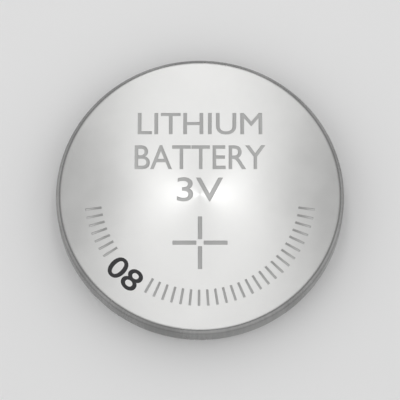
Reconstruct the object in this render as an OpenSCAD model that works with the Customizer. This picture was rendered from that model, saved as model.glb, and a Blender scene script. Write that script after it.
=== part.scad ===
// Lithium coin cell of the 20 mm by 2.5 mm size, lying on its negative cap.
// The origin is the centre of the negative contact face, and +Z points out of the positive face.
// Every piece but the mesh is a turned section: a closed outline of radius and height, revolved about Z.

/* [Cell] */
// Diameter over the wall of the positive can
cell_d = 20; // [16:0.5:24]
// Height over the two contact faces
cell_h = 2.5; // [2.3:0.1:3.2]

/* [Positive can] */
// Thickness of the steel sheet that the can is drawn from
can_sheet = 0.25; // [0.18:0.01:0.3]
// Outside radius of the bend round the positive face
can_corner_r = 0.45; // [0.35:0.05:0.6]
// Outside radius of the bend that rolls the rim over the gasket
crimp_r = 0.8; // [0.7:0.05:0.9]
// Angle through which the rim is rolled in from the wall
crimp_angle = 65; // [55:1:75]
// Length of the straight lip past the rolled bend
crimp_lip = 0.35; // [0.2:0.05:0.45]
// Distance that the rolled rim stands back from the negative contact face
rim_recess = 0.12; // [0.1:0.01:0.2]

/* [Negative cap] */
// Thickness of the steel sheet that the cap is drawn from
cap_sheet = 0.22; // [0.15:0.01:0.25]
// Outside radius of the bend round the negative contact face
contact_edge_r = 0.35; // [0.27:0.01:0.4]
// Width of the cap's shoulder, from its raised step to the outside of its skirt
shoulder_w = 0.75; // [0.6:0.05:0.9]
// Radius of the hollow bend between the raised step and the shoulder
step_fillet_r = 0.12; // [0.08:0.01:0.14]
// Outside radius of the bend between the shoulder and the skirt
skirt_bend_r = 0.3; // [0.27:0.01:0.35]

/* [Gasket] */
// Thickness of the gasket between the can's wall and the cap's skirt
gasket_wall = 0.3; // [0.25:0.01:0.35]
// Thickness of the gasket between the can's floor and the end of the cap's skirt
gasket_foot = 0.28; // [0.2:0.01:0.4]
// Width of the gasket's inner lip, which stands inside the skirt
inner_lip_w = 0.3; // [0.2:0.01:0.4]
// Height of the inner lip above the end of the skirt
inner_lip_h = 0.45; // [0.2:0.05:0.6]
// Height of the bead that the crimp squeezes out beside the rim
gasket_bead = 0.07; // [0:0.01:0.09]

/* [Cell stack] */
// Thickness of the lithium disc
anode_t = 0.42; // [0.3:0.01:0.5]
// Gap between the edge of the lithium disc and the bend round the cap's contact plate
anode_gap = 0.25; // [0:0.05:0.5]
// Thickness of the separator cloth
separator_t = 0.18; // [0.1:0.01:0.25]
// Height of the separator's turned-up edge above its flat
separator_rim_h = 0.5; // [0.3:0.05:0.8]
// Gap between the separator's turned-up edge and the cap's step
separator_gap = 0.35; // [0.1:0.05:0.6]
// Gap between the cathode pellet and the separator's turned-up edge
cathode_gap = 0.1; // [0.05:0.01:0.2]
// Chamfer round both edges of the cathode pellet
cathode_chamfer = 0.08; // [0.03:0.01:0.15]

/* [Collector mesh] */
// Thickness of the expanded metal
collector_t = 0.1; // [0.06:0.01:0.15]
// Distance from the pellet's edge in to the collector's edge
collector_inset = 0.8; // [0.4:0.1:1.5]
// Width of the plain band round the mesh
collector_band = 0.35; // [0.2:0.05:0.6]
// Distance between openings along the long way of the mesh
mesh_long = 1.8; // [1.6:0.1:2.4]
// Distance between openings along the short way of the mesh
mesh_short = 1.1; // [0.9:0.1:1.6]
// Width of the strands between the openings
mesh_strand = 0.22; // [0.15:0.01:0.3]

/* [Hidden] */
$fn = 128;
// Straight steps that make up each round stretch of a section
bend_steps = 10;

// Outside of the can, and the inside of its wall and floor
can_r = cell_d / 2;
bore_r = can_r - can_sheet;
can_floor_z = cell_h - can_sheet;
can_corner = [can_r - can_corner_r, cell_h - can_corner_r];

// Centre of the rolled bend, at the height that brings the rim down to its recess
crimp_centre = [
    can_r - crimp_r,
    rim_recess + crimp_r * sin(crimp_angle) + crimp_lip * cos(crimp_angle),
];
crimp_out = [cos(crimp_angle), -sin(crimp_angle)];
crimp_along = [-sin(crimp_angle), -cos(crimp_angle)];
rim_outer = crimp_centre + crimp_r * crimp_out + crimp_lip * crimp_along;
rim_inner = rim_outer - can_sheet * crimp_out;

// The cap's skirt runs inside the gasket's wall and ends on the gasket's foot
skirt_r = bore_r - gasket_wall;
skirt_inner_r = skirt_r - cap_sheet;
skirt_end_z = can_floor_z - gasket_foot;
contact_r = skirt_r - shoulder_w;

// The shoulder lies where the rolled lip pinches the gasket to the thickness of its wall
pinch_offset = gasket_wall + skirt_bend_r + can_sheet - crimp_r;
shoulder_z = crimp_centre.y - skirt_bend_r + pinch_offset * tan(crimp_angle / 2);
skirt_bend = [skirt_r - skirt_bend_r, shoulder_z + skirt_bend_r];
step_bend = [contact_r + step_fillet_r, shoulder_z - step_fillet_r];
contact_bend = [contact_r - contact_edge_r, contact_edge_r];
step_inner_r = contact_r - cap_sheet;

inner_lip_r = skirt_inner_r - inner_lip_w;
inner_lip_z = skirt_end_z - inner_lip_h;

// The stack fills the height between the cap and the can, and the pellet takes what the rest leaves
anode_r = contact_bend.x - anode_gap;
separator_z = cap_sheet + anode_t;
separator_r = step_inner_r - separator_gap;
separator_inner_r = separator_r - separator_t;
cathode_z = separator_z + separator_t;
cathode_r = separator_inner_r - cathode_gap;
cathode_top_z = can_floor_z - collector_t;
collector_r = cathode_r - collector_inset;

// The openings are diamonds, drawn in from the lines that would leave no strand between them
mesh_cell = [mesh_long / 2, mesh_short / 2];
mesh_open_share = 1 - mesh_strand * norm(mesh_cell) / (2 * mesh_cell.x * mesh_cell.y);
mesh_opening = mesh_cell * mesh_open_share;
mesh_reach = collector_r - collector_band - mesh_opening.x;

// Points round an arc, from one angle to another
function arc(centre, r, from, to) = [
    for (i = [0 : bend_steps])
        let (a = from + (to - from) * i / bend_steps)
            centre + r * [cos(a), sin(a)]
];

// The can's inside face, from the rolled rim up the wall to the floor
function can_inside() = concat(
    [rim_inner],
    arc(crimp_centre, crimp_r - can_sheet, -crimp_angle, 0),
    arc(can_corner, can_corner_r - can_sheet, 0, 90)
);

// The cap's outside face, from the contact edge over the shoulder to the end of the skirt
function cap_outside() = concat(
    arc(step_bend, step_fillet_r, 180, 90),
    arc(skirt_bend, skirt_bend_r, -90, 0),
    [[skirt_r, skirt_end_z]]
);

// The cap's inside face, from the end of the skirt back to the contact plate
function cap_inside() = concat(
    [[skirt_inner_r, skirt_end_z]],
    arc(skirt_bend, skirt_bend_r - cap_sheet, 0, -90),
    arc(step_bend, step_fillet_r + cap_sheet, 90, 180),
    arc(contact_bend, contact_edge_r - cap_sheet, 0, -90)
);

// The bead of gasket that shows between the rim and the cap's step
function bead() = [
    for (i = [1 : bend_steps])
        let (share = i / bend_steps)
            [
                rim_inner.x + (contact_r - rim_inner.x) * share,
                rim_inner.y + (contact_bend.y - rim_inner.y) * share - gasket_bead * sin(180 * share),
            ]
];

module turned(outline) {
    rotate_extrude() polygon(outline);
}

// Drawn cup with the positive face as its floor and its rim rolled over the gasket
module positive_can() {
    color([0.80, 0.80, 0.79])
        turned(concat(
            [[0, cell_h]],
            arc(can_corner, can_corner_r, 90, 0),
            arc(crimp_centre, crimp_r, 0, -crimp_angle),
            [rim_outer],
            can_inside(),
            [[0, can_floor_z]]
        ));
}

// Stepped cap with the negative contact face, a shoulder under the crimp and a skirt in the gasket
module negative_cap() {
    color([0.74, 0.74, 0.73])
        turned(concat(
            [[0, 0]],
            arc(contact_bend, contact_edge_r, -90, 0),
            cap_outside(),
            cap_inside(),
            [[0, cap_sheet]]
        ));
}

// Moulded seal that holds the skirt in its groove and insulates the cap from the can
module gasket() {
    color([0.86, 0.87, 0.85])
        turned(concat(
            bead(),
            cap_outside(),
            [
                [skirt_inner_r, skirt_end_z],
                [skirt_inner_r, inner_lip_z],
                [inner_lip_r, inner_lip_z],
                [inner_lip_r, can_floor_z],
            ],
            [for (i = [len(can_inside()) - 1 : -1 : 0]) can_inside()[i]]
        ));
}

// Disc of lithium foil pressed on the inside of the cap
module lithium_anode() {
    color([0.70, 0.71, 0.72])
        translate([0, 0, cap_sheet])
            cylinder(r = anode_r, h = anode_t);
}

// Cloth disc with its edge turned up round the pellet
module separator() {
    bend = [cathode_r, cathode_z + cathode_gap];
    rim_z = cathode_z + separator_rim_h;
    color([0.93, 0.93, 0.90])
        turned(concat(
            [[0, separator_z]],
            arc(bend, cathode_gap + separator_t, -90, 0),
            [[separator_r, rim_z], [separator_inner_r, rim_z]],
            arc(bend, cathode_gap, 0, -90),
            [[0, cathode_z]]
        ));
}

// Pressed pellet of manganese dioxide and carbon
module cathode_pellet() {
    color([0.13, 0.13, 0.14])
        turned([
            [0, cathode_z],
            [cathode_r - cathode_chamfer, cathode_z],
            [cathode_r, cathode_z + cathode_chamfer],
            [cathode_r, cathode_top_z - cathode_chamfer],
            [cathode_r - cathode_chamfer, cathode_top_z],
            [0, cathode_top_z],
        ]);
}

// One opening of the expanded metal
module diamond(half) {
    polygon([[half.x, 0], [0, half.y], [-half.x, 0], [0, -half.y]]);
}

// Disc of expanded stainless steel between the pellet and the can's floor
module cathode_collector() {
    columns = ceil(mesh_reach / mesh_cell.x);
    rows = ceil(mesh_reach / mesh_cell.y);
    color([0.62, 0.63, 0.64])
        translate([0, 0, cathode_top_z])
            linear_extrude(height = collector_t)
                difference() {
                    circle(r = collector_r);
                    for (column = [-columns : columns], row = [-rows : rows]) {
                        centre = [column * mesh_cell.x, row * mesh_cell.y];
                        if ((column + row) % 2 == 0 && norm(centre) < mesh_reach)
                            translate(centre) diamond(mesh_opening);
                    }
                }
}

positive_can();
negative_cap();
gasket();
lithium_anode();
separator();
cathode_pellet();
cathode_collector();
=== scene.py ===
"""Lithium coin cell: its turned pieces, stamped marks and finishes, and the studio."""

import math

import bpy
from bpy.props import FloatProperty, FloatVectorProperty, PointerProperty, StringProperty
from bpy.types import NodeSocket, Operator, Panel, PropertyGroup
from mathutils import Matrix, Vector


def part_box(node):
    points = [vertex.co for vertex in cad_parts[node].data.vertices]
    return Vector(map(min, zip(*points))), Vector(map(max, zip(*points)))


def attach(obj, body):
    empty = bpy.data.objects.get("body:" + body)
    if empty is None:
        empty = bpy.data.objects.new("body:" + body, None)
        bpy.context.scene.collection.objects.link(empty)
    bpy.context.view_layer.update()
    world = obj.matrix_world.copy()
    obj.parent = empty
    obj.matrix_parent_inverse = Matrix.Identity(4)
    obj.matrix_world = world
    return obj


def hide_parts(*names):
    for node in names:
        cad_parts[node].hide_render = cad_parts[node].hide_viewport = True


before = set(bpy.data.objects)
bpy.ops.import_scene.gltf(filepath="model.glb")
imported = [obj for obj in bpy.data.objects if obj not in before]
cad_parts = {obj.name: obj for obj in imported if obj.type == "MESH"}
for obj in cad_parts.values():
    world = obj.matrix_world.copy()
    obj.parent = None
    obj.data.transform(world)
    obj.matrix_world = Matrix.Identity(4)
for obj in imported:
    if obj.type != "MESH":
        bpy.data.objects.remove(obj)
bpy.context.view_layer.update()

bl_info = {
    "name": "Coin Cell",
    "version": (1, 0, 0),
    "blender": (4, 5, 0),
    "location": "3D View > Sidebar > Coin Cell",
    "description": "Builds a lithium coin cell: crimped can, stepped cap, gasket and stamped marks",
    "category": "Object",
}

MM = 0.001
AXIS = (0, 0, 1)
MERGE_DISTANCE = 0.0005 * MM
FACE_SEED = 0.1 * MM
# Sections round the cell's axis, and straight steps in a bend of the sheet
TURN_STEPS = 192
BEND_STEPS = 9
# Straight steps in the rounding of an edge, and in the curves of a letter
ROUND_STEPS = 3
LETTER_STEPS = 6
# Flat ring that keeps the shading of a bend away from the disc that it surrounds
SHADING_RING = 0.1 * MM
# Largest angle between faces that still shades as one smooth surface
SMOOTH_ANGLE = math.radians(32)
# The camera's angle over the floor, its distance from the cell and its lens in millimetres
CAMERA_ELEVATION = math.radians(72)
CAMERA_DISTANCE = 0.19375
CAMERA_LENS = 250
# The lamp's distance from the cell, its width and length, and its power in watts
LAMP_DISTANCE = 0.05
LAMP_SIZE = (0.008, 0.045)
LAMP_POWER = 0.0022
# Angles from the middle of the ceiling at which it starts to turn into the walls and has done so
CEILING_EDGE = math.radians(30)
WALLS_EDGE = math.radians(40)
FLOOR_WIDTH = 4.0

can_low, can_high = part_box("positive_can")
cap_low, cap_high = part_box("negative_cap")
gasket_low, gasket_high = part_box("gasket")


def length(name, description, default):
    """A length in metres with its default in millimetres."""
    return FloatProperty(
        name=name, description=description, default=default * MM, min=0, unit="LENGTH", precision=5
    )


def extent(name, description, width, height):
    """A width and a height in metres with their defaults in millimetres."""
    return FloatVectorProperty(
        name=name, description=description, default=(width * MM, height * MM), size=2, unit="LENGTH"
    )


def angle(name, description, degrees):
    """An angle with its default in degrees."""
    return FloatProperty(
        name=name, description=description, default=math.radians(degrees), subtype="ANGLE"
    )


def colour(name, description, *default):
    """A linear colour."""
    return FloatVectorProperty(
        name=name, description=description, default=default, size=3, min=0, max=1, subtype="COLOR"
    )


class CellSizes(PropertyGroup):
    """Sizes of the pressed and moulded sections"""

    can_sheet: length("Can sheet", "Thickness of the can's steel", 0.25)
    can_corner: length("Can corner", "Outside radius of the bend round the positive face", 0.3)
    crimp_radius: length("Crimp radius", "Outside radius of the rolled bend", 0.8)
    crimp_lip: length("Crimp lip", "Straight lip past the rolled bend", 0.35)
    crimp_angle: angle("Crimp angle", "Angle through which the rim is rolled in", 65)
    cap_sheet: length("Cap sheet", "Thickness of the cap's steel", 0.22)
    contact_edge: length("Contact edge", "Outside radius of the bend round the negative face", 0.35)
    shoulder: length("Shoulder", "Width of the cap's shoulder", 0.75)
    step_fillet: length("Step fillet", "Hollow bend between the step and the shoulder", 0.12)
    skirt_bend: length("Skirt bend", "Outside radius of the bend at the top of the skirt", 0.3)
    inner_lip_width: length("Inner lip width", "Width of the gasket's lip inside the skirt", 0.3)
    inner_lip_height: length("Inner lip height", "Height of the gasket's lip over the skirt's end", 0.45)
    lip_round: length("Lip rounding", "Rounding of the inner lip's two edges", 0.06)
    gasket_bead: length("Gasket bead", "Height of the bead beside the rim", 0.07)
    edge_break: length("Edge break", "Rounding of the cut edges of the sheets", 0.03)


class CellMarks(PropertyGroup):
    """Sizes and places of the marks on the positive face, from its centre"""

    depth: length("Depth", "Depth of the stamped marks", 0.05)
    wall_round: length("Wall rounding", "Rounding of a stamped mark's walls", 0.035)
    ink_depth: length("Ink depth", "Depth of the printed number's recess", 0.004)
    first_line: StringProperty(
        name="First line", description="Top line of lettering", default="LITHIUM"
    )
    first_size: extent("First line's size", "Width and height of the first line", 8.7, 1.6)
    first_y: length("First line's place", "Height of the first line's middle", 5.2)
    second_line: StringProperty(
        name="Second line", description="Lower line of lettering", default="BATTERY"
    )
    second_size: extent("Second line's size", "Width and height of the second line", 9.1, 1.76)
    second_y: length("Second line's place", "Height of the second line's middle", 2.73)
    rating: StringProperty(name="Rating", description="Voltage", default="3V")
    rating_size: extent("Rating's size", "Width and height of the rating", 3.2, 1.76)
    rating_y: length("Rating's place", "Height of the rating's middle", 0.37)
    plus_span: length("Plus span", "Width and height of the plus sign", 3.8)
    plus_gap: length("Plus gap", "Gap in the middle of the plus sign", 0.5)
    plus_drop: length("Plus drop", "Distance of the plus sign below the centre", 3.5)
    stroke: length("Stroke", "Width of the plus sign's strokes", 0.3)
    stamp_fining: length("Stamp fining", "How far the stamped letters' outlines are drawn in", 0.025)
    ink_spread: length("Ink spread", "How far the printed number's outlines are spread", 0.02)
    tick_radius: length("Tick radius", "Radius of the middle of the ring of ticks", 7.45)
    tick_length: length("Tick length", "Length of a tick", 1.15)
    tick_width: length("Tick width", "Width of a tick", 0.17)
    tick_pitch: length("Tick pitch", "Distance between ticks at their middle", 0.6)
    tick_end: angle("Ticks' end", "Angle below the horizontal at which the ring of ticks ends", 8)
    number: StringProperty(name="Number", description="Printed plain number", default="08")
    number_size: extent("Number's size", "Width and height of the printed number", 2.5, 1.6)
    number_radius: length("Number's radius", "Radius of the middle of the printed number", 7.7)
    number_angle: angle("Number's angle", "Place of the number, anticlockwise from the right", 228)
    number_room: angle("Number's room", "Half the angle that the ticks leave free for the number", 14)

    def tick_runs(self):
        """The runs of ticks on both sides of the number: start, end and number of steps of each."""
        left, right = math.pi + self.tick_end, math.tau - self.tick_end
        before, after = self.number_angle - self.number_room, self.number_angle + self.number_room
        runs = ((left, before), (after, right))
        return [(a, b, round((b - a) * self.tick_radius / self.tick_pitch)) for a, b in runs]


class CellColours(PropertyGroup):
    """Linear colours of the surfaces"""

    nickel: colour("Nickel", "Satin plating of the positive face", 0.80, 0.80, 0.79)
    # Painted shade: the can's bends and wall get a much darker nickel than its face, a painted dark
    # reflection along the outline and the wall.
    painted_shade_nickel: colour("Drawn nickel", "Plating of the can's bends and wall", 0.27, 0.27, 0.268)
    # Painted shade: the stamped marks' colour is darker than the nickel, standing in for the shade in
    # their hollows.
    stamped: colour("Stamped", "Stamped marks", 0.5, 0.5, 0.495)
    ink: colour("Ink", "Printed number", 0.025, 0.025, 0.027)
    cap: colour("Cap", "Steel of the cap", 0.70, 0.70, 0.685)
    drawn_cap: colour("Drawn cap", "Bends and step of the cap", 0.60, 0.60, 0.59)
    gasket: colour("Gasket", "Milky plastic of the gasket", 0.74, 0.76, 0.72)
    lithium: colour("Lithium", "Dull lithium foil", 0.46, 0.47, 0.48)
    lithium_film: colour("Lithium film", "Patches of film on the lithium", 0.30, 0.30, 0.33)
    cloth: colour("Cloth", "Fibres of the separator", 0.86, 0.86, 0.82)
    cathode: colour("Cathode", "Manganese dioxide and carbon", 0.016, 0.016, 0.017)
    graphite: colour("Graphite", "Flecks of graphite in the pellet", 0.07, 0.07, 0.075)
    mesh: colour("Mesh", "Stainless steel of the collector", 0.38, 0.38, 0.385)
    floor: colour("Floor", "Floor of the studio", 0.87, 0.87, 0.87)
    walls: colour("Walls", "Walls of the studio", 0.95, 0.95, 0.95)
    ceiling: colour("Ceiling", "Ceiling of the studio", 0.38, 0.38, 0.38)


def sizes():
    return bpy.context.scene.coin_cell_sizes


def marks():
    return bpy.context.scene.coin_cell_marks


def colours():
    return bpy.context.scene.coin_cell_colours


def only(obj):
    """Leaves obj selected and active, and nothing else."""
    bpy.ops.object.select_all(action="DESELECT")
    obj.select_set(True)
    bpy.context.view_layer.objects.active = obj


def select_vertices(obj, test):
    """Selects, in edit mode, the vertices whose place passes the test."""
    bpy.ops.mesh.select_mode(type="VERT")
    bpy.ops.mesh.select_all(action="DESELECT")
    bpy.ops.object.mode_set(mode="OBJECT")
    for vertex in obj.data.vertices:
        vertex.select = test(obj.matrix_world @ vertex.co)
    bpy.ops.object.mode_set(mode="EDIT")


def apply_modifier(obj, kind, **settings):
    modifier = obj.modifiers.new(kind.title(), kind)
    for name, value in settings.items():
        setattr(modifier, name, value)
    only(obj)
    bpy.ops.object.modifier_apply(modifier=modifier.name)


def settle(obj):
    """Puts the object at the origin, with its place in its mesh."""
    only(obj)
    bpy.ops.object.transform_apply(location=True, rotation=True, scale=True)


def same_place(place, other):
    return (place - other).length < MERGE_DISTANCE


def draw_line(name, corners, closed):
    """Extrudes a vertex along the corners of a section in the XZ plane, then rounds the corners.

    A corner is its radius, its height and the radius of its bend.
    """
    bpy.ops.object.select_all(action="DESELECT")
    places = [Vector((r, 0, z)) for r, z, _ in corners]
    bpy.ops.mesh.primitive_plane_add(size=FACE_SEED, location=places[0])
    line = bpy.context.object
    line.name = line.data.name = name
    bpy.ops.object.mode_set(mode="EDIT")
    bpy.ops.mesh.select_mode(type="VERT")
    bpy.ops.mesh.merge(type="CENTER")
    for start, end in zip(places, places[1:]):
        bpy.ops.mesh.extrude_vertices_move(TRANSFORM_OT_translate={"value": end - start})
    if closed:
        first, final = places[0], places[-1]
        select_vertices(line, lambda place: same_place(place, first) or same_place(place, final))
        bpy.ops.mesh.edge_face_add()
    last = len(places) - 1
    for i, (_, _, bend) in enumerate(corners):
        if bend > 0:
            corner, before, after = places[i], places[i - 1], places[i + 1 if i < last else 0]
            turn = (corner - before).angle(after - corner)
            select_vertices(line, lambda place: same_place(place, corner))
            bpy.ops.mesh.bevel(
                offset=bend * math.tan(turn / 2),
                offset_type="OFFSET",
                segments=BEND_STEPS,
                affect="VERTICES",
            )
    return line


def spin_line(line):
    """Spins the section about the cell's axis and turns its faces outwards."""
    bpy.ops.mesh.select_all(action="SELECT")
    bpy.ops.mesh.spin(steps=TURN_STEPS, angle=math.tau, center=(0, 0, 0), axis=AXIS)
    bpy.ops.mesh.select_all(action="SELECT")
    bpy.ops.mesh.remove_doubles(threshold=MERGE_DISTANCE)
    bpy.ops.mesh.normals_make_consistent(inside=False)


def on_circle(place, radius, height):
    distance = Vector((place.xy.length, place.z)) - Vector((radius, height))
    return distance.length < 4 * MERGE_DISTANCE


def fill_disc(sheet, radius, height, direction):
    """Fills the open middle of a turned sheet with one flat face that looks along the direction."""
    select_vertices(sheet, lambda place: on_circle(place, radius, height))
    bpy.ops.mesh.edge_face_add()
    bpy.ops.mesh.select_all(action="SELECT")
    bpy.ops.mesh.normals_make_consistent(inside=False)
    bpy.ops.object.mode_set(mode="OBJECT")
    disc = max(sheet.data.polygons, key=lambda face: len(face.vertices))
    if disc.normal.z * direction < 0:
        bpy.ops.object.mode_set(mode="EDIT")
        bpy.ops.mesh.flip_normals()
        bpy.ops.object.mode_set(mode="OBJECT")


def break_edges(obj, places):
    """Rounds the circular edges that run through the places, each a radius and a height."""
    only(obj)
    bpy.ops.object.mode_set(mode="EDIT")
    bpy.ops.mesh.select_mode(type="EDGE")
    bpy.ops.mesh.select_all(action="DESELECT")
    bpy.ops.object.mode_set(mode="OBJECT")
    vertices = obj.data.vertices
    for edge in obj.data.edges:
        ends = [vertices[i].co for i in edge.vertices]
        edge.select = any(all(on_circle(end, *place) for end in ends) for place in places)
    bpy.ops.object.mode_set(mode="EDIT")
    bpy.ops.mesh.bevel(
        offset=sizes().edge_break, offset_type="OFFSET", segments=ROUND_STEPS, affect="EDGES"
    )
    bpy.ops.object.mode_set(mode="OBJECT")


def cell_section():
    """Shared places of the section: the rolled rim, the cap's step and the gasket's groove."""
    s = sizes()
    sine, cosine = math.sin(s.crimp_angle), math.cos(s.crimp_angle)
    outwards, along = Vector((cosine, -sine)), Vector((-sine, -cosine))
    crimp_x = can_high.x - s.crimp_radius
    crimp_z = can_low.z + s.crimp_radius * sine + s.crimp_lip * cosine
    rim_outer = Vector((crimp_x, crimp_z)) + outwards * s.crimp_radius + along * s.crimp_lip
    skirt_r = cap_high.x
    gasket_wall = gasket_high.x - skirt_r
    pinch = gasket_wall + s.skirt_bend + s.can_sheet - s.crimp_radius
    return {
        "crimp_z": crimp_z,
        "rim_outer": rim_outer,
        "rim_inner": rim_outer - outwards * s.can_sheet,
        "skirt_r": skirt_r,
        "contact_r": skirt_r - s.shoulder,
        "shoulder_z": crimp_z - s.skirt_bend + pinch * math.tan(s.crimp_angle / 2),
    }


def finish_piece(piece, material, node):
    """Shades the piece, gives it its material and lets it stand for its node."""
    only(piece)
    bpy.ops.object.shade_smooth_by_angle(angle=SMOOTH_ANGLE)
    piece.data.materials.clear()
    piece.data.materials.append(material)
    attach(piece, "root")
    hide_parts(node)


class Cutter:
    """Solids that are pressed into the positive face together."""

    def __init__(self, depth, wall_round):
        self.depth = depth
        self.wall_round = wall_round
        self.parts = []

    def add_text(self, body, size, place, weight, turn=0.0):
        """Lettering of that width and height, with its middle at the place.

        The weight is how far its outlines are spread, or drawn in where it is negative.
        """
        bpy.ops.object.select_all(action="DESELECT")
        bpy.ops.object.text_add(location=(0, 0, 0))
        text = bpy.context.object
        text.data.body = body
        text.data.size = size[1]
        text.data.resolution_u = LETTER_STEPS
        text.data.offset = weight
        text.data.extrude = self.depth - self.wall_round
        text.data.bevel_depth = self.wall_round
        text.data.bevel_resolution = 2
        bpy.ops.object.convert(target="MESH")
        bpy.ops.object.mode_set(mode="EDIT")
        bpy.ops.mesh.select_all(action="SELECT")
        bpy.ops.mesh.remove_doubles(threshold=MERGE_DISTANCE)
        bpy.ops.mesh.normals_make_consistent(inside=False)
        bpy.ops.object.mode_set(mode="OBJECT")
        corners = [Vector(corner) for corner in text.bound_box]
        low = Vector([min(c[i] for c in corners) for i in range(3)])
        high = Vector([max(c[i] for c in corners) for i in range(3)])
        stretch = Vector((size[0] / (high.x - low.x), size[1] / (high.y - low.y), 1))
        text.data.transform(
            Matrix.Translation((place[0], place[1], can_high.z))
            @ Matrix.Rotation(turn, 4, "Z")
            @ Matrix.Diagonal(stretch.to_4d())
            @ Matrix.Translation(-(low + high) / 2)
        )
        if self.wall_round > 0:
            self.clean(text)
        self.parts.append(text)

    def clean(self, part):
        """Resolves rounded walls that cross in narrow corners, inside a block round the part."""
        bpy.ops.object.select_all(action="DESELECT")
        bpy.ops.mesh.primitive_cube_add(size=2.5 * can_high.x, location=(0, 0, can_high.z))
        block = bpy.context.object
        settle(block)
        apply_modifier(
            part, "BOOLEAN", operation="INTERSECT", object=block, solver="EXACT", use_self=True
        )
        bpy.data.objects.remove(block)

    def add_bar(self, width, height, place):
        """Straight stroke with rounded walls."""
        bpy.ops.object.select_all(action="DESELECT")
        bpy.ops.mesh.primitive_cube_add(size=1, location=(place[0], place[1], can_high.z))
        bar = bpy.context.object
        bar.scale = (width, height, 2 * self.depth)
        settle(bar)
        apply_modifier(
            bar, "BEVEL", width=self.wall_round, segments=ROUND_STEPS, limit_method="NONE"
        )
        self.parts.append(bar)
        return bar

    def add_ring_of_bars(self, width, height, radius, start, end, steps):
        """Strokes that point at the axis, copied from one angle to the other."""
        bar = self.add_bar(height, width, (radius, 0))
        bpy.ops.object.mode_set(mode="EDIT")
        bpy.ops.mesh.select_all(action="SELECT")
        bpy.ops.mesh.spin(dupli=True, steps=steps, angle=start - end, center=(0, 0, 0), axis=AXIS)
        bpy.ops.object.mode_set(mode="OBJECT")
        bar.data.transform(Matrix.Rotation(start, 4, "Z"))

    def press_into(self, piece, attribute):
        """Cuts all the solids out of the piece and marks the faces that they leave."""
        bpy.ops.object.select_all(action="DESELECT")
        for part in self.parts:
            part.select_set(True)
        bpy.context.view_layer.objects.active = self.parts[0]
        if len(self.parts) > 1:
            bpy.ops.object.join()
        cutter = bpy.context.object
        face_mark = cutter.data.attributes.new(attribute, "FLOAT", "FACE")
        for item in face_mark.data:
            item.value = 1.0
        apply_modifier(piece, "BOOLEAN", operation="DIFFERENCE", object=cutter, solver="EXACT")
        bpy.data.objects.remove(cutter)


class Nodes:
    """A node tree, with short ways to add the nodes that the finishes and the studio share."""

    def __init__(self, tree):
        self.tree = tree

    def add(self, kind, inputs=None, **settings):
        """Adds a node, and feeds each of its inputs a constant or another node's output."""
        node = self.tree.nodes.new("ShaderNode" + kind)
        for name, value in settings.items():
            setattr(node, name, value)
        for socket, value in (inputs or {}).items():
            self.feed(node.inputs[socket], value)
        return node

    def feed(self, socket, value):
        if isinstance(value, NodeSocket):
            self.tree.links.new(value, socket)
        else:
            socket.default_value = value

    def math(self, operation, *values):
        return self.add("Math", dict(enumerate(values)), operation=operation).outputs[0]

    def vector_math(self, operation, *values):
        return self.add("VectorMath", dict(enumerate(values)), operation=operation)

    def mix_colours(self, share, first, second):
        return self.add("Mix", {0: share, 6: first, 7: second}, data_type="RGBA").outputs[2]

    def mix_numbers(self, share, first, second):
        return self.add("Mix", {0: share, 2: first, 3: second}).outputs[0]

    def ramp(self, value, start, end):
        """0 at the start, 1 at the end and smooth between. The end may be the lower of the two."""
        limits = {"Value": value, "From Min": start, "From Max": end}
        return self.add("MapRange", limits, interpolation_type="SMOOTHSTEP").outputs["Result"]

    def noise(self, vector, size, detail=2.0):
        """Noise from 0 to 1 with blotches of about that size in metres."""
        inputs = {"Vector": vector, "Scale": 1 / size, "Detail": detail}
        return self.add("TexNoise", inputs).outputs["Fac"]


class Finish(Nodes):
    """The node tree of one material, round its own shader."""

    def __init__(self, name, **constants):
        self.material = bpy.data.materials.new(name)
        self.material.use_nodes = True
        super().__init__(self.material.node_tree)
        self.shader = self.tree.nodes["Principled BSDF"]
        for socket, value in constants.items():
            self.shader.inputs[socket.replace("_", " ")].default_value = value
        self.place = self.add("TexCoord").outputs["Object"]

    def attribute(self, name):
        return self.add("Attribute", attribute_name=name).outputs["Fac"]

    def turned_place(self):
        """Direction from the cell's axis, distance from it, and height."""
        flat = self.vector_math("MULTIPLY", self.place, (1, 1, 0)).outputs["Vector"]
        direction = self.vector_math("NORMALIZE", flat).outputs["Vector"]
        radius = self.vector_math("LENGTH", flat).outputs["Value"]
        height = self.add("SeparateXYZ", {0: self.place}).outputs["Z"]
        return direction, radius, height

    def lines(self, direction, turns, distance, size):
        """Lines round the axis or along it: noise over the direction and over the distance."""
        scaled = self.add("VectorMath", {0: direction, "Scale": turns}, operation="SCALE")
        level = self.add("CombineXYZ", {"Z": self.math("DIVIDE", distance, size)})
        vector = self.vector_math("ADD", scaled.outputs["Vector"], level.outputs["Vector"])
        return self.noise(vector.outputs["Vector"], 1.0)

    def relief(self, *layers):
        """Bump from layers, each a pattern from 0 to 1 and its height in metres."""
        heights = [self.math("MULTIPLY", pattern, height) for pattern, height in layers]
        total = heights[0]
        for height in heights[1:]:
            total = self.math("ADD", total, height)
        bump = self.add("Bump", {"Height": total, "Distance": 1.0, "Strength": 1.0})
        self.set("Normal", bump.outputs["Normal"])

    def set(self, socket, value):
        self.feed(self.shader.inputs[socket], value)


def toned(value, factor=1.0):
    """A colour made darker or lighter, with full opacity."""
    return (*(min(1.0, part * factor) for part in value), 1.0)


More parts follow.
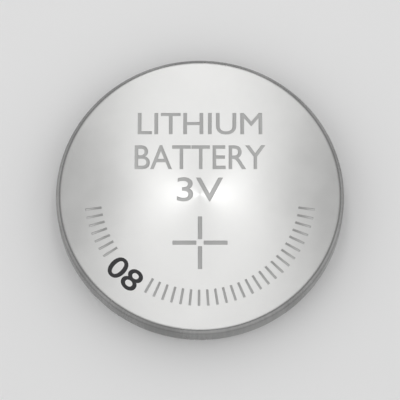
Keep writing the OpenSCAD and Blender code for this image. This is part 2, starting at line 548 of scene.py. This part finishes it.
def steel_sheet(finish, flat_colour, drawn_colour, drawn):
    """Pressed sheet: satin grain and faint rings on the flat disc; where drawn is 1, draw lines and
    painted reflection bands, broad lighter and darker zones round the wall.

    Gives the colour, the roughness and the layers of relief.
    """
    tangent = finish.add("Tangent", direction_type="RADIAL", axis="Z")
    finish.set("Tangent", tangent.outputs["Tangent"])
    direction, radius, height = finish.turned_place()
    grain = finish.noise(finish.place, 0.05 * MM)
    clouds = finish.noise(finish.place, 1.6 * MM, 3.0)
    rings = finish.lines(direction, 1.5, radius, 0.03 * MM)
    streaks = finish.lines(direction, 70.0, height, 3.0 * MM)
    # Painted reflection: broad bands round the axis that stand in for light and dark zones mirrored in
    # the wall.
    painted_reflection_bands = finish.lines(direction, 2.5, height, 6.0 * MM)
    flat_tone = finish.mix_colours(clouds, toned(flat_colour, 0.95), toned(flat_colour, 1.04))
    # Mostly the painted reflection bands and partly the real draw lines: they lighten and darken the
    # drawn colour and set its roughness.
    draw_lines_and_painted_reflections = finish.ramp(finish.mix_numbers(0.25, painted_reflection_bands, streaks), 0.3, 0.7)
    drawn_tone = finish.mix_colours(draw_lines_and_painted_reflections, toned(drawn_colour, 0.82), toned(drawn_colour, 1.24))
    tone = finish.mix_colours(drawn, flat_tone, drawn_tone)
    flat_roughness = finish.mix_numbers(clouds, 0.28, 0.35)
    drawn_roughness = finish.mix_numbers(draw_lines_and_painted_reflections, 0.32, 0.2)
    roughness = finish.mix_numbers(drawn, flat_roughness, drawn_roughness)
    flat = finish.math("SUBTRACT", 1.0, drawn)
    layers = [
        (finish.math("MULTIPLY", grain, flat), 0.9e-6),
        (finish.math("MULTIPLY", rings, flat), 0.5e-6),
        (finish.math("MULTIPLY", streaks, drawn), 0.8e-6),
    ]
    return tone, roughness, layers


def can_steel():
    """Nickel-plated steel with painted shade on its bend and wall, stamped marks that are rougher and
    carry painted shade in their colour, and a number in matt ink.
    """
    c = colours()
    finish = Finish("nickel_plated_steel", Anisotropic=0.6)
    _, radius, height = finish.turned_place()
    bend = sizes().can_corner
    # Painted shade: the bend round the positive face and the wall and rim below it take the darker
    # nickel, a painted dark reflection that draws the outline. Their draw lines and roughness are the
    # sheet's own.
    corner = finish.ramp(radius, can_high.x - bend - SHADING_RING, can_high.x - 0.2 * MM)
    wall_and_rim = finish.ramp(height, can_high.z - bend, can_high.z - 2 * bend)
    drawn = finish.math("MAXIMUM", corner, wall_and_rim)
    tone, roughness, layers = steel_sheet(finish, c.nickel, c.painted_shade_nickel, drawn)
    stamped = finish.attribute("stamped")
    inked = finish.attribute("inked")
    # Painted shade: the stamped marks take a darker colour as shade in their hollows. Their higher
    # roughness is their own duller finish.
    tone = finish.mix_colours(stamped, tone, toned(c.stamped))
    roughness = finish.mix_numbers(stamped, roughness, 0.42)
    finish.set("Base Color", finish.mix_colours(inked, tone, toned(c.ink)))
    finish.set("Roughness", finish.mix_numbers(inked, roughness, 0.55))
    finish.set("Metallic", finish.math("SUBTRACT", 1.0, inked))
    finish.relief(*layers)
    return finish.material


def cap_steel():
    """Stainless steel with a satin contact face and a drawn step."""
    c = colours()
    finish = Finish("satin_cap_steel", Anisotropic=0.4, Metallic=1.0)
    _, radius, _ = finish.turned_place()
    contact_r = cap_high.x - sizes().shoulder
    flat_radius = contact_r - sizes().contact_edge - SHADING_RING
    drawn = finish.ramp(radius, flat_radius, contact_r - 0.1 * MM)
    tone, roughness, layers = steel_sheet(finish, c.cap, c.drawn_cap, drawn)
    finish.set("Base Color", tone)
    finish.set("Roughness", roughness)
    finish.relief(*layers)
    return finish.material


def gasket_plastic():
    """Milky polypropylene that lets a little light in."""
    c = colours()
    finish = Finish(
        "milky_polypropylene", IOR=1.49, Subsurface_Weight=0.25, Subsurface_Scale=0.3 * MM
    )
    clouds = finish.noise(finish.place, 0.8 * MM, 3.0)
    orange_peel = finish.noise(finish.place, 0.12 * MM)
    milk = finish.mix_colours(clouds, toned(c.gasket, 0.93), toned(c.gasket, 1.05))
    finish.set("Base Color", milk)
    finish.set("Roughness", finish.mix_numbers(orange_peel, 0.36, 0.5))
    finish.relief((orange_peel, 1.5e-6), (clouds, 4e-6))
    return finish.material


def lithium_foil():
    """Soft rolled foil with roller lines, and patches of dull film."""
    c = colours()
    finish = Finish("dull_lithium_foil", Metallic=1.0)
    patches = finish.noise(finish.place, 2.2 * MM, 5.0)
    film = finish.ramp(patches, 0.45, 0.68)
    stretched = finish.vector_math("MULTIPLY", finish.place, (1, 24, 1)).outputs["Vector"]
    roller_lines = finish.noise(stretched, 1.5 * MM, 3.0)
    clean = finish.mix_colours(roller_lines, toned(c.lithium, 0.85), toned(c.lithium, 1.15))
    finish.set("Base Color", finish.mix_colours(film, clean, toned(c.lithium_film)))
    finish.set("Roughness", finish.mix_numbers(film, 0.42, 0.7))
    finish.relief((roller_lines, 3e-6), (patches, 8e-6))
    return finish.material


def separator_cloth():
    """White nonwoven cloth: fibres in three directions, with thin and thick places."""
    c = colours()
    finish = Finish("nonwoven_cloth", Roughness=0.85, Sheen_Weight=0.15)
    fibres = None
    for turn in (10, 70, 130):
        rotation = (0, 0, math.radians(turn))
        turned = finish.add("Mapping", {"Vector": finish.place, "Rotation": rotation})
        stretched = finish.vector_math("MULTIPLY", turned.outputs["Vector"], (1, 20, 6))
        layer = finish.ramp(finish.noise(stretched.outputs["Vector"], 0.6 * MM, 1.0), 0.5, 0.66)
        fibres = finish.math("MAXIMUM", fibres, layer) if fibres else layer
    thick = finish.noise(finish.place, 1.2 * MM, 3.0)
    cloth = finish.mix_colours(thick, toned(c.cloth, 0.86), toned(c.cloth))
    finish.set("Base Color", finish.mix_colours(fibres, cloth, toned(c.cloth, 1.12)))
    finish.relief((fibres, 9e-6), (thick, 14e-6))
    return finish.material


def cathode_mix():
    """Pressed black powder: grains, pores and flecks of graphite."""
    c = colours()
    finish = Finish("pressed_cathode_mix", Specular_IOR_Level=0.3)
    grains = finish.add("TexVoronoi", {"Vector": finish.place, "Scale": 1 / (0.12 * MM)})
    crumbs = finish.noise(finish.place, 0.05 * MM, 3.0)
    flecks = finish.ramp(finish.noise(finish.place, 0.09 * MM), 0.66, 0.72)
    powder = finish.mix_colours(crumbs, toned(c.cathode, 0.6), toned(c.cathode, 1.6))
    finish.set("Base Color", finish.mix_colours(flecks, powder, toned(c.graphite)))
    finish.set("Roughness", finish.mix_numbers(flecks, 0.9, 0.45))
    finish.relief((grains.outputs["Distance"], -9e-6), (crumbs, 5e-6))
    return finish.material


def mesh_steel():
    """Expanded stainless steel with rolling lines along the strands."""
    c = colours()
    finish = Finish("expanded_stainless_steel", Metallic=1.0, Anisotropic=0.3)
    stretched = finish.vector_math("MULTIPLY", finish.place, (1, 30, 30)).outputs["Vector"]
    rolling = finish.noise(stretched, 0.8 * MM, 3.0)
    clouds = finish.noise(finish.place, 0.5 * MM)
    finish.set("Base Color", finish.mix_colours(rolling, toned(c.mesh, 0.85), toned(c.mesh, 1.2)))
    finish.set("Roughness", finish.mix_numbers(clouds, 0.28, 0.42))
    finish.relief((rolling, 1.2e-6), (clouds, 1.5e-6))
    return finish.material


class COINCELL_OT_positive_can(Operator):
    """Spin the can's section, give it its sheet thickness and press the marks into its face"""

    bl_idname = "coincell.positive_can"
    bl_label = "Positive can"

    def execute(self, context):
        s = sizes()
        section = cell_section()
        can_r, top = can_high.x, can_high.z
        disc_r = can_r - s.can_corner - SHADING_RING
        crimp_corner_z = section["crimp_z"] - s.crimp_radius * math.tan(s.crimp_angle / 2)
        corners = [
            (disc_r, top, 0),
            (can_r, top, s.can_corner),
            (can_r, crimp_corner_z, s.crimp_radius),
            (*section["rim_outer"], 0),
        ]
        can = draw_line("positive_can_shell", corners, closed=False)
        spin_line(can)
        fill_disc(can, disc_r, top, 1)
        settle(can)
        apply_modifier(can, "SOLIDIFY", thickness=s.can_sheet, offset=-1, use_even_offset=True)
        break_edges(can, [section["rim_outer"], section["rim_inner"]])
        self.press_marks(can)
        finish_piece(can, can_steel(), "positive_can")
        return {"FINISHED"}

    def press_marks(self, can):
        m = marks()
        ink = Cutter(m.ink_depth, 0)
        outwards = Vector((math.cos(m.number_angle), math.sin(m.number_angle)))
        number_place = m.number_radius * outwards
        upright = m.number_angle - math.radians(270)
        ink.add_text(m.number, m.number_size, number_place, m.ink_spread, upright)
        ink.press_into(can, "inked")
        stamp = Cutter(m.depth, m.wall_round)
        stamp.add_text(m.first_line, m.first_size, (0, m.first_y), -m.stamp_fining)
        stamp.add_text(m.second_line, m.second_size, (0, m.second_y), -m.stamp_fining)
        stamp.add_text(m.rating, m.rating_size, (0, m.rating_y), -m.stamp_fining)
        arm = (m.plus_span - m.plus_gap) / 2
        reach = (arm + m.plus_gap) / 2
        for side in (-1, 1):
            stamp.add_bar(arm, m.stroke, (side * reach, -m.plus_drop))
            stamp.add_bar(m.stroke, arm, (0, -m.plus_drop + side * reach))
        for start, end, steps in m.tick_runs():
            stamp.add_ring_of_bars(m.tick_width, m.tick_length, m.tick_radius, start, end, steps)
        stamp.press_into(can, "stamped")


class COINCELL_OT_negative_cap(Operator):
    """Spin the cap's section from the contact face to the skirt, and give it its sheet thickness"""

    bl_idname = "coincell.negative_cap"
    bl_label = "Negative cap"

    def execute(self, context):
        s = sizes()
        section = cell_section()
        contact_r, skirt_r = section["contact_r"], section["skirt_r"]
        shoulder_z = section["shoulder_z"]
        bottom, skirt_end_z = cap_low.z, cap_high.z
        disc_r = contact_r - s.contact_edge - SHADING_RING
        corners = [
            (disc_r, bottom, 0),
            (contact_r, bottom, s.contact_edge),
            (contact_r, shoulder_z, s.step_fillet),
            (skirt_r, shoulder_z, s.skirt_bend),
            (skirt_r, skirt_end_z, 0),
        ]
        cap = draw_line("negative_cap_shell", corners, closed=False)
        spin_line(cap)
        fill_disc(cap, disc_r, bottom, -1)
        settle(cap)
        apply_modifier(cap, "SOLIDIFY", thickness=s.cap_sheet, offset=-1, use_even_offset=True)
        break_edges(cap, [(skirt_r, skirt_end_z), (skirt_r - s.cap_sheet, skirt_end_z)])
        finish_piece(cap, cap_steel(), "negative_cap")
        return {"FINISHED"}


class COINCELL_OT_gasket(Operator):
    """Spin the gasket's closed section, with its foot, lip, groove and bead"""

    bl_idname = "coincell.gasket"
    bl_label = "Gasket"

    def execute(self, context):
        s = sizes()
        section = cell_section()
        contact_r, skirt_r = section["contact_r"], section["skirt_r"]
        shoulder_z = section["shoulder_z"]
        bore_r, floor_z, skirt_end_z = gasket_high.x, gasket_high.z, cap_high.z
        groove_r = skirt_r - s.cap_sheet
        lip_r, lip_z = groove_r - s.inner_lip_width, skirt_end_z - s.inner_lip_height
        crimp_inside = s.crimp_radius - s.can_sheet
        crimp_corner_z = section["crimp_z"] - crimp_inside * math.tan(s.crimp_angle / 2)
        rim = section["rim_inner"]
        step_z = cap_low.z + s.contact_edge
        # The bead is an arc from the step to the rim, whose corner is rounded almost to its ends
        half = (rim.x - contact_r) / 2
        lean = 2 * math.atan(s.gasket_bead / half)
        bead_corner = ((rim.x + contact_r) / 2, (rim.y + step_z) / 2 - half * math.tan(lean))
        bead_bend = 0.95 * half / math.sin(lean)
        corners = [
            (contact_r, step_z, 0),
            (contact_r, shoulder_z, s.step_fillet),
            (skirt_r, shoulder_z, s.skirt_bend),
            (skirt_r, skirt_end_z, 0),
            (groove_r, skirt_end_z, 0),
            (groove_r, lip_z, s.lip_round),
            (lip_r, lip_z, s.lip_round),
            (lip_r, floor_z, 0),
            (bore_r, floor_z, s.can_corner - s.can_sheet),
            (bore_r, crimp_corner_z, crimp_inside),
            (*rim, 0),
            (*bead_corner, bead_bend),
        ]
        gasket = draw_line("gasket_ring", corners, closed=True)
        spin_line(gasket)
        bpy.ops.object.mode_set(mode="OBJECT")
        settle(gasket)
        finish_piece(gasket, gasket_plastic(), "gasket")
        return {"FINISHED"}


class COINCELL_OT_cell_stack(Operator):
    """Give the sealed pieces of the stack their finishes"""

    bl_idname = "coincell.cell_stack"
    bl_label = "Cell stack"

    def execute(self, context):
        finishes = {
            "lithium_anode": lithium_foil(),
            "separator": separator_cloth(),
            "cathode_pellet": cathode_mix(),
            "cathode_collector": mesh_steel(),
        }
        for node, material in finishes.items():
            bpy.data.objects[node].material_slots[0].material = material
        return {"FINISHED"}


class COINCELL_OT_studio(Operator):
    """Lay the floor, light the room, hang the lamp and set the camera"""

    bl_idname = "coincell.studio"
    bl_label = "Studio"

    def execute(self, context):
        mirrored = Vector((0, math.cos(CAMERA_ELEVATION), math.sin(CAMERA_ELEVATION)))
        self.lay_floor()
        self.light_room(context, mirrored)
        self.hang_lamp(context, LAMP_DISTANCE * mirrored)
        self.set_camera(context)
        context.scene.view_settings.view_transform = "Standard"
        return {"FINISHED"}

    def lay_floor(self):
        bpy.ops.object.select_all(action="DESELECT")
        bpy.ops.mesh.primitive_plane_add(size=FLOOR_WIDTH, location=(0, 0, 0))
        floor = bpy.context.object
        floor.name = "studio_floor"
        finish = Finish("pale_floor", Roughness=0.6)
        clouds = finish.noise(finish.place, 30 * MM)
        tooth = finish.noise(finish.place, 0.3 * MM)
        tone = colours().floor
        finish.set("Base Color", finish.mix_colours(clouds, toned(tone, 0.99), toned(tone, 1.01)))
        finish.relief((tooth, 4e-6))
        floor.data.materials.append(finish.material)

    def light_room(self, context, mirrored):
        """Pale walls, and a darker ceiling where the positive face mirrors it to the camera."""
        world = bpy.data.worlds.new("studio_room")
        world.use_nodes = True
        room = Nodes(world.node_tree)
        direction = room.add("TexCoord").outputs["Generated"]
        nearness = room.vector_math("DOT_PRODUCT", direction, mirrored).outputs["Value"]
        overhead = room.ramp(nearness, math.cos(WALLS_EDGE), math.cos(CEILING_EDGE))
        tone = room.mix_colours(overhead, toned(colours().walls), toned(colours().ceiling))
        room.feed(world.node_tree.nodes["Background"].inputs["Color"], tone)
        context.scene.world = world

    def hang_lamp(self, context, place):
        """A strip lamp that looks at the cell, lengthwise from front to back."""
        light = bpy.data.lights.new("overhead_strip", "AREA")
        light.shape = "RECTANGLE"
        light.size, light.size_y = LAMP_SIZE
        light.energy = LAMP_POWER
        holder = bpy.data.objects.new(light.name, light)
        context.scene.collection.objects.link(holder)
        holder.location = place
        holder.rotation_euler = place.to_track_quat("Z", "Y").to_euler()

    def set_camera(self, context):
        """A long lens that looks at the cell's middle from the front."""
        back = CAMERA_DISTANCE * math.cos(CAMERA_ELEVATION)
        height = can_high.z / 2 + CAMERA_DISTANCE * math.sin(CAMERA_ELEVATION)
        tilt = math.radians(90) - CAMERA_ELEVATION
        bpy.ops.object.camera_add(location=(0, -back, height), rotation=(tilt, 0, 0))
        camera = bpy.context.object
        camera.data.lens = CAMERA_LENS
        camera.data.clip_start = MM
        context.scene.camera = camera


GROUPS = {
    "coin_cell_sizes": CellSizes,
    "coin_cell_marks": CellMarks,
    "coin_cell_colours": CellColours,
}
OPERATORS = (
    COINCELL_OT_positive_can,
    COINCELL_OT_negative_cap,
    COINCELL_OT_gasket,
    COINCELL_OT_cell_stack,
    COINCELL_OT_studio,
)


class COINCELL_PT_cell(Panel):
    """Lists the sizes, the marks, the colours and the operators"""

    bl_label = "Coin Cell"
    bl_idname = "COINCELL_PT_cell"
    bl_space_type = "VIEW_3D"
    bl_region_type = "UI"
    bl_category = "Coin Cell"

    def draw(self, context):
        for name, group in GROUPS.items():
            box = self.layout.box()
            box.label(text=group.__doc__)
            for prop in group.__annotations__:
                box.prop(getattr(context.scene, name), prop)
        for operator in OPERATORS:
            self.layout.operator(operator.bl_idname)


def register():
    for cls in (*GROUPS.values(), *OPERATORS, COINCELL_PT_cell):
        bpy.utils.register_class(cls)
    for name, group in GROUPS.items():
        setattr(bpy.types.Scene, name, PointerProperty(type=group))


def unregister():
    for name in GROUPS:
        delattr(bpy.types.Scene, name)
    for cls in (COINCELL_PT_cell, *reversed(OPERATORS), *reversed(GROUPS.values())):
        bpy.utils.unregister_class(cls)


def main():
    register()
    bpy.ops.coincell.positive_can()
    bpy.ops.coincell.negative_cap()
    bpy.ops.coincell.gasket()
    bpy.ops.coincell.cell_stack()
    bpy.ops.coincell.studio()


if __name__ == "__main__":
    main()
